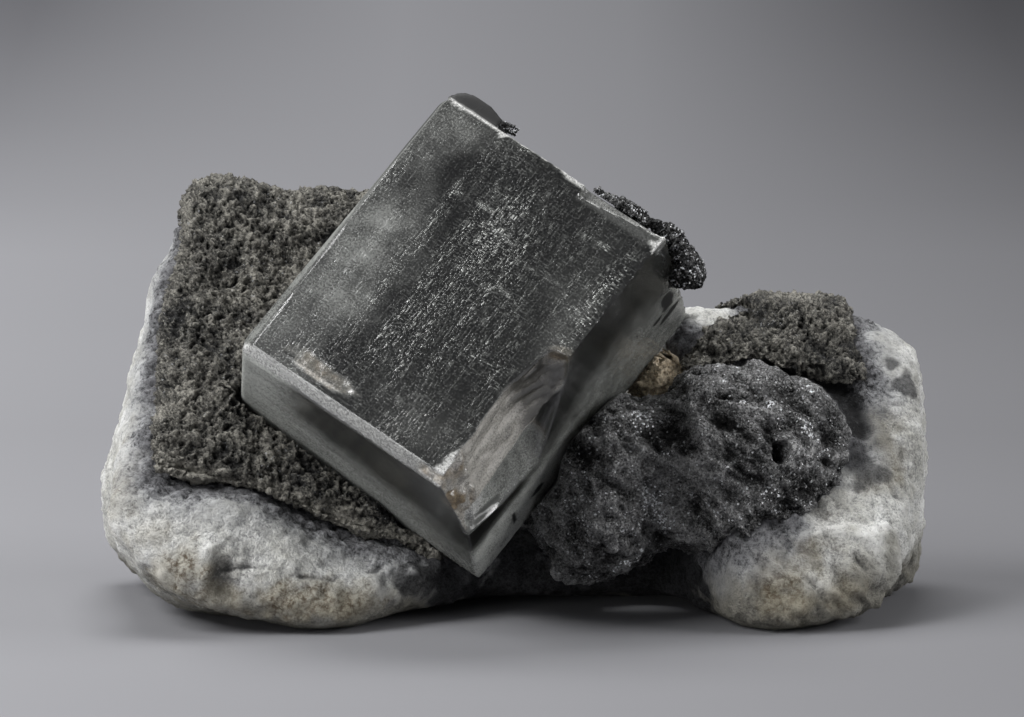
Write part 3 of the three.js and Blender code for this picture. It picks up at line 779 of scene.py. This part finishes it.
# Painted light: the foot of the right face, in the nodule's shadow, is made milky and pale.
right_milk_and_painted_light = right_milk_and_painted_light + 0.55 * smooth_step(-10.5, -13, z) * smooth_step(2, -2, y)
right_milk_and_painted_light = right_milk_and_painted_light * (1 + 0.4 * rough(local, 1.0, 4, 36))
on_left = smooth_step(0.4, 0.1, y + CRYSTAL_HALF_LENGTH) * (1 - main) * (1 - chipped) * (1 - on_right)
far_end = smooth_step(-3.5, -9.5, x + drift)
foot = smooth_step(-6, -13, z + 0.35 * x + drift)
left_milk = 0.75 * np.maximum(far_end, 0.8 * foot)
left_milk = left_milk * (1 - 0.45 * smooth_step(3, 8, x) * smooth_step(-9, -12, z))
left_milk = left_milk * (1 + 0.25 * rough(local * np.array([0.25, 1, 1]), 0.9, 3, 14))
on_hidden = (1 - main) * (1 - chipped) * (1 - on_right) * (1 - on_left)
hidden_milk = 0.08 + 0.14 * np.clip(1 + rough(local, 2.2, 4, 41), 0, 2)
shell_milk = (upper_shell * (0.14 + 0.45 * smooth_step(-2.5, -5, y) + 0.5 * splinters)
              + lower_shell * (0.03 + 0.3 * smooth_step(5.0, 4.7, from_blow)) * (1 + 0.35 * ripples))
shell_milk = (1 - crushed) * (shell_milk + 0.2 * chipped * smooth_step(-8.0, -9.2, y)) + 0.42 * crushed
shell_milk = shell_milk * (1 - 0.8 * split)
milk = milk + on_right * right_milk_and_painted_light + on_left * (0.06 + left_milk) + on_hidden * hidden_milk + shell_milk
milk = np.clip(milk + 0.1 * pitted, 0, 1)
paint(crystal, "milk", milk)

# White frost where edges are bruised: the bevel, a line along the upper edge with a few wider
# chips, the shelf under the edge grains, the right corner, and crumbs in the chip.
bruise = 0.3 * rough(local, 0.7, 4, 8)
bevel = smooth_step(0.85, 0.7, y + CRYSTAL_HALF_LENGTH + 0.3 * bruise)
bevel = bevel * smooth_step(1.1, 0.85, -z + 0.3 * bruise)
bevel = bevel * (0.75 - 0.025 * x)
rim_width = np.interp(x, [-10, -6, -5.4, -4.9, -4.3, -2, 0.5, 1.2, 2.9],
                      [0.3, 0.2, 0.15, 0.65, 0.1, 0.05, 0.05, 0.4, 0.35])
rim = smooth_step(0.1, -0.05, CRYSTAL_HALF_LENGTH - y - rim_width + 0.4 * bruise)
rim = smooth_step(0.5, 0.3, -z) * rim
rim = rim * smooth_step(0.25, 0.1, y - upper_side)
shelf = smooth_step(11.4, 11.6, y) * smooth_step(2.7, 3.0, x) * smooth_step(-1.3, -1.0, z)
shelf = shelf * (1 - 0.6 * main)
corner = smooth_step(1.5, 1.3, 2 * (CRYSTAL_HALF_WIDTH - x) + 1.5 * np.abs(11.9 - y) + 2 * bruise) * main
crest = chipped * np.exp(-((z - ridge_z) / 0.2) ** 2)
crest = crest * smooth_step(-8.2, -7.2, y) * smooth_step(-0.8, -2.0, y)
crest = crest * (0.6 + 0.8 * rough(long_streaks, 0.7, 2, 10))
flakes = upper_shell * (0.6 * smooth_step(-2.5, -4.5, y) + 0.7 * smooth_step(0.1, 0.6, splinters))
white_crumbs = crushed * (0.25 + 0.75 * smooth_step(0.25, 0.8, crumbled))
white_crumbs = white_crumbs * (0.55 + 0.45 * smooth_step(-4, -1.5, z))
near_tip = spot(local, (8.4, -11.2, -0.3), (0.9, 1.9, 0.8), 0.5, 12)
low_crumbs = 0.8 * chipped * spot(local, (9.9, -10.9, -6.9), (1.3, 0.9, 1.8), 0.5, 37, 0.6)
bruised_top = spot(local, (9.2, 0.0, -1.1), (1.5, 0.5, 0.8), 0.6, 13, 0.6)
in_patch = pitted * np.clip(0.1 + 0.7 * rough(local, 0.45, 2, 23), 0, 1)
patch_rim = spot(local, (-4.6, -11.35, 0), (2.4, 0.16, 2), 0.5, 25, 0.8) * main
frost = np.clip(0.9 * bevel + rim + 0.45 * shelf + corner, 0, 1)
frost = np.maximum.reduce([frost, crest, np.clip(flakes, 0, 1), 0.95 * white_crumbs, near_tip, low_crumbs,
                           0.7 * bruised_top, in_patch, patch_rim])
paint(crystal, "frost", frost)

# Where fine etch marks are dense: streaks the crystal's length, each with its x, width and two ends in
# mm, and short strokes across them, thicker in a few clusters: a centre and two reaches.
ETCHED_STREAKS = [(-5.0, 0.3, -3, 9), (-2.4, 0.5, -8, 8), (-1.2, 0.4, -7, 9), (0.2, 0.9, -8, 11),
                  (2.2, 0.4, -5, 7), (4.7, 0.3, -3, 11), (6.9, 0.3, 4, 10)]
ETCHED_CLUSTERS = [(5.6, 4.8, 1.4, 0.3), (3.1, 2.2, 1.0, 0.35), (7.3, 9.5, 0.9, 0.3), (0.6, 6.0, 1.2, 0.25),
                   (-2.2, 7.0, 0.9, 0.1), (9.6, 3.5, 0.9, 4.0), (9.2, 8.5, 0.6, 2.4), (8.4, 4.0, 1.2, 0.3),
                   (5.0, -3.2, 1.6, 0.3), (-0.5, 5.0, 1.4, 3.0)]
on_face = main * (1 - chipped) * (1 - np.clip(bevel + rim, 0, 1))
paint(crystal, "face", on_face + 0.8 * on_hidden)
sway = 0.3 * lumps(local, 6.0, 4)
along = 0.35 + 0.45 * rough(local * np.array([1, 0.12, 1]), 1.0, 3, 5)
for streak, width, low, high in ETCHED_STREAKS:
    reach = smooth_step(low - 2, low + 2, y) * smooth_step(high + 2, high - 2, y)
    along = along + 0.4 * reach * np.exp(-((x + sway - streak) / width) ** 2)
paint(crystal, "along", np.clip(along, 0, 1))
across = 0.25 + 0.35 * rough(local * np.array([0.5, 1, 1]), 1.6, 3, 17)
for centre_x, centre_y, reach_x, reach_y in ETCHED_CLUSTERS:
    across = across + 0.6 * cloud(centre_x, centre_y, reach_x, reach_y)
paint(crystal, "across", np.clip(across, 0, 1))

# Single scratches: the places they pass, in mm on the face, and how strongly they show.
SCRATCHES = [([(-2.9, 7.0), (-1.5, 6.95)], 0.9), ([(-5.1, 6.5), (-4.4, 6.8)], 0.7),
             ([(-0.6, 6.0), (1.4, 5.7)], 0.5), ([(-2.6, 9.0), (-1.9, 8.2)], 0.5),
             ([(1.0, 11.5), (1.0, 9.5)], 0.2), ([(4.2, 8.6), (4.5, 7.0)], 0.3),
             ([(1.4, 9.4), (2.2, 8.7)], 0.3), ([(2.0, 1.6), (2.6, 2.3), (3.6, 2.3)], 0.6),
             ([(3.3, 5.0), (4.2, 4.95)], 0.5), ([(5.2, 5.0), (6.2, 5.1)], 0.4),
             ([(6.4, 9.4), (7.6, 9.6)], 0.6), ([(-3.9, 8.8), (-3.85, 6.5)], 0.2)]
in_plane = np.array([1, 1, 0])
flat = local * in_plane
wavy = flat + 0.1 * MM * np.stack([rough(flat, 1.0, 2, n) for n in (18, 19, 20)], 1) * in_plane
scratch = np.zeros(len(local))
for path, strength in SCRATCHES:
    path = [(a, b, 0) for a, b in path]
    scratch = np.maximum(scratch, strength * smooth_step(0.22, 0.02, off_path(wavy, path)))
paint(crystal, "scratch", scratch)

# Iron stain in the pitted patch, the top of the chip and its crushed end.
rust = 0.55 * pitted * np.clip(1 + rough(local, 0.8, 3, 26), 0, 1.5)
rust = rust + 0.5 * spot(local, (9.6, 0.7, -0.4), (1.0, 0.8, 1.0), 0.4, 31)
rust = rust + 0.42 * upper_shell + 0.5 * crushed * np.clip(1.5 * rough(local, 1.6, 3, 33), 0, 1)
rust = rust + 0.6 * lower_shell * np.exp(-((from_blow - 4.9) / 0.2) ** 2)
rust = rust + 0.6 * spot(local, (9.2, -12.3, -3.4), (1.2, 0.9, 1.0), 0.4, 32)
paint(crystal, "rust", np.clip(rust, 0, 1))

# Galena smears on the right face (y, z and two reaches in mm), a thin line of painted shade down the left
# corner, a thin dark line under the chip, and the dark slab of the second growth layer behind the top corner.
SMEARS = [(12.8, -8.4, 0.5, 0.7), (12.2, -10.4, 0.8, 1.2), (12.4, -13.0, 1.3, 0.4), (10.8, -11.8, 0.5, 0.3),
          (-5.0, -14.7, 0.9, 0.35), (-8.0, -14.6, 0.25, 1.2), (8.3, -10.2, 0.15, 0.2),
          (11.6, -8.4, 0.15, 0.2)]
CHIP_FOOT = [(10.3, -8.8, -9.3), (10.2, -12.7, -7.7)]
smear_and_painted_shade = smooth_step(0.02, 0.15, y - CRYSTAL_HALF_LENGTH) * smooth_step(-5.4, -5.7, x) * smooth_step(-9, -8, z)
for centre_y, centre_z, reach_y, reach_z in SMEARS:
    dab = spot(local, (10.4, centre_y, centre_z), (2, reach_y, reach_z), 0.6, 35)
    smear_and_painted_shade = np.maximum(smear_and_painted_shade, on_right * dab)
# Painted shade: a thin near-black line along the left edge.
painted_edge_shade = smooth_step(0.25, 0.15, second) * (1 - chipped)
painted_edge_shade = painted_edge_shade * smooth_step(-9.8, -10.1, x) * smooth_step(-12.4, -12, y)
chip_line = smooth_step(0.5, 0.2, off_path(local, CHIP_FOOT))
smear_and_painted_shade = np.maximum.reduce([smear_and_painted_shade, 0.9 * painted_edge_shade, 0.75 * chip_line])
paint(crystal, "smear_and_painted_shade", smear_and_painted_shade)

# Phosgenite: glass-clear and very refractive, with a faint olive smoke in it. Where it is etched,
# milky or bruised, a matt white surface takes the clear one's place. The etch marks are finer in the
# real crystal, about 0.05 mm; here they are as fine as will show.
REFRACTION = 2.1
SMOKE_DENSITY = 120.0
GRIT_WIDTH = 0.16
clear, tree = material("phosgenite, etched")
to_crystal = crystal_frame.inverted()
where = add(tree, "Mapping", {"Vector": add(tree, "TexCoord").outputs["Object"],
                              "Location": to_crystal.to_translation(), "Rotation": to_crystal.to_euler()})
marks = {}
for name in ("milk", "frost", "face", "along", "across", "scratch", "rust", "smear_and_painted_shade"):
    marks[name] = add(tree, "Attribute", attribute_name=name).outputs["Fac"]


def weave(width, length, start, end):
    """Fine marks about that wide and long in mm, 0 to 1, where the noise is between start and end."""
    stretch = add(tree, "Mapping", {"Vector": where, "Scale": (1 / (width * MM), 1 / (length * MM), 0)})
    noise = add(tree, "TexNoise", {"Vector": stretch, "Scale": 1.0, "Detail": 2.0, "Roughness": 0.7})
    return add(tree, "MapRange", {"Value": noise, "From Min": start, "From Max": end})


def strokes(width, length, density):
    """Bright marks about that wide and long in mm, as thick on the face as density says, 0 to 1."""
    stretch = add(tree, "Mapping", {"Vector": where, "Scale": (0.4 / (width * MM), 0.4 / (length * MM), 0)})
    cells = add(tree, "TexVoronoi", {"Vector": stretch, "Scale": 1.0}, voronoi_dimensions="2D")
    near = add(tree, "MapRange", {"Value": cells, "From Min": 0.3, "From Max": 0.1})
    chance = add(tree, "SeparateColor", {0: cells.outputs["Color"]})
    lucky = add(tree, "Math", {0: density, 1: 0.5, 2: chance}, operation="MULTIPLY_ADD")
    chosen = add(tree, "MapRange", {"Value": lucky, "From Min": 0.98, "From Max": 1.5})
    return add(tree, "Math", {0: near, 1: chosen}, operation="MULTIPLY")


# Each kind of mark: its pattern, where it is dense and how strongly it shows.
etched = 0.0
for marking, density, strength in [
        (weave(0.16, 1.1, 0.54, 0.7), "along", 0.36), (weave(0.8, 0.14, 0.56, 0.7), "across", 0.36),
        (weave(0.16, 0.16, 0.54, 0.7), "along", 0.30), (weave(0.25, 0.1, 0.45, 0.62), "scratch", 0.7),
        (strokes(0.09, 0.3, marks["along"]), "along", 1.1),
        (strokes(0.3, 0.09, marks["across"]), "across", 1.2),
        (strokes(0.09, 0.09, marks["across"]), "across", 1.2)]:
    worn = add(tree, "Math", {0: marking, 1: marks[density]}, operation="MULTIPLY")
    etched = add(tree, "Math", {0: worn, 1: strength, 2: etched}, operation="MULTIPLY_ADD")
etched = add(tree, "Math", {0: etched, 1: marks["face"]}, operation="MULTIPLY")
grit = add(tree, "TexNoise", {"Vector": where, "Scale": 1 / (GRIT_WIDTH * MM), "Detail": 3.0,
                              "Roughness": 0.75})
gritty = add(tree, "MapRange", {"Value": grit, "From Min": 0.38, "From Max": 0.66, "To Min": 0.25})
frosty = add(tree, "Math", {0: marks["frost"], 1: gritty}, operation="MULTIPLY")
patchy = add(tree, "MapRange", {"Value": grit, "From Min": 0.35, "From Max": 0.65,
                                "To Min": 0.5, "To Max": 1.5})
milky = add(tree, "Math", {0: marks["milk"], 1: patchy}, operation="MULTIPLY")
share = add(tree, "Math", {0: etched, 1: milky}, operation="ADD")
share = add(tree, "Math", {0: share, 1: frosty}, operation="MAXIMUM")
share = add(tree, "Math", {0: marks["rust"], 1: 0.3, 2: share}, operation="MULTIPLY_ADD")
share = add(tree, "Math", {0: share, 1: marks["smear_and_painted_shade"]}, operation="MAXIMUM", use_clamp=True)
dulled = add(tree, "MapRange", {"Value": grit, "From Min": 0.35, "From Max": 0.65,
                                "To Min": 0.1, "To Max": 0.26})
on_front = add(tree, "Math", {0: marks["milk"], 1: marks["face"]}, operation="MULTIPLY")
dulled = add(tree, "Math", {0: on_front, 1: 0.6, 2: dulled}, operation="MULTIPLY_ADD")
bump = add(tree, "Bump", {"Height": etched, "Strength": 0.3, "Distance": 0.1 * MM})
glassy = add(tree, "BsdfPrincipled", {"Base Color": srgb("#dfe1d8"), "Roughness": dulled,
                                      "IOR": REFRACTION, "Transmission Weight": 1.0, "Normal": bump})
pale = add(tree, "MixRGB", {"Fac": marks["frost"], "Color1": srgb("#b5b7b2"), "Color2": srgb("#e8e8e5")})
pale = add(tree, "MixRGB", {"Fac": marks["rust"], "Color1": pale, "Color2": srgb("#84755e")})
# Near-black where galena smears, the slab, the line under the chip and the painted edge shade are.
pale = add(tree, "MixRGB", {"Fac": marks["smear_and_painted_shade"], "Color1": pale, "Color2": srgb("#121212")})
frosted = add(tree, "BsdfPrincipled", {"Base Color": pale, "Roughness": 0.6, "Normal": bump})
surface = add(tree, "MixShader", {"Fac": share, 1: glassy, 2: frosted})
smoke = add(tree, "VolumeAbsorption", {"Color": srgb("#b9bcab"), "Density": SMOKE_DENSITY})
add(tree, "OutputMaterial", {"Surface": surface, "Volume": smoke})
crystal.data.materials.append(clear)
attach(crystal, "root")
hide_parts("phosgenite_crystal")


# ---- Galena in the crystal ----
# The crystal grew over galena: its seat and its hidden sides are full of it, in one dark ragged
# sheet sealed just under the surface.
SHEET_SKIN = 0.4
SHEET_INSIDE = 0.5
SEAT_LEVEL = -14.6
sheet = cad_copy("galena_in_crystal", "phosgenite_crystal")
sheet.data.transform(crystal_frame.inverted())
even_squares(sheet, SHEET_SKIN)
inside = read(sheet) - read(sheet, "normal") * SHEET_INSIDE * MM
x, y, z = (inside / MM).T
ragged_top = (SEAT_LEVEL + 12.0 * smooth_step(11.3, 12.4, y) + 8.5 * smooth_step(-10.6, -11.8, x)
              + 0.8 * rough(inside * np.array([1, 1, 0]), 4.0, 4, 91))
inside[:, 2] = np.minimum(z, ragged_top) * MM
place(sheet, inside)
even_squares(sheet, SHEET_SKIN)
sheet.data.polygons.foreach_set("use_smooth", [True] * len(sheet.data.polygons))
sheet.data.transform(crystal_frame)
sheet.data.materials.append(fresh_galena)
paint(sheet, "relief", np.full(len(sheet.data.vertices), 0.2))
paint(sheet, "glint", np.zeros(len(sheet.data.vertices)))
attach(sheet, "root")
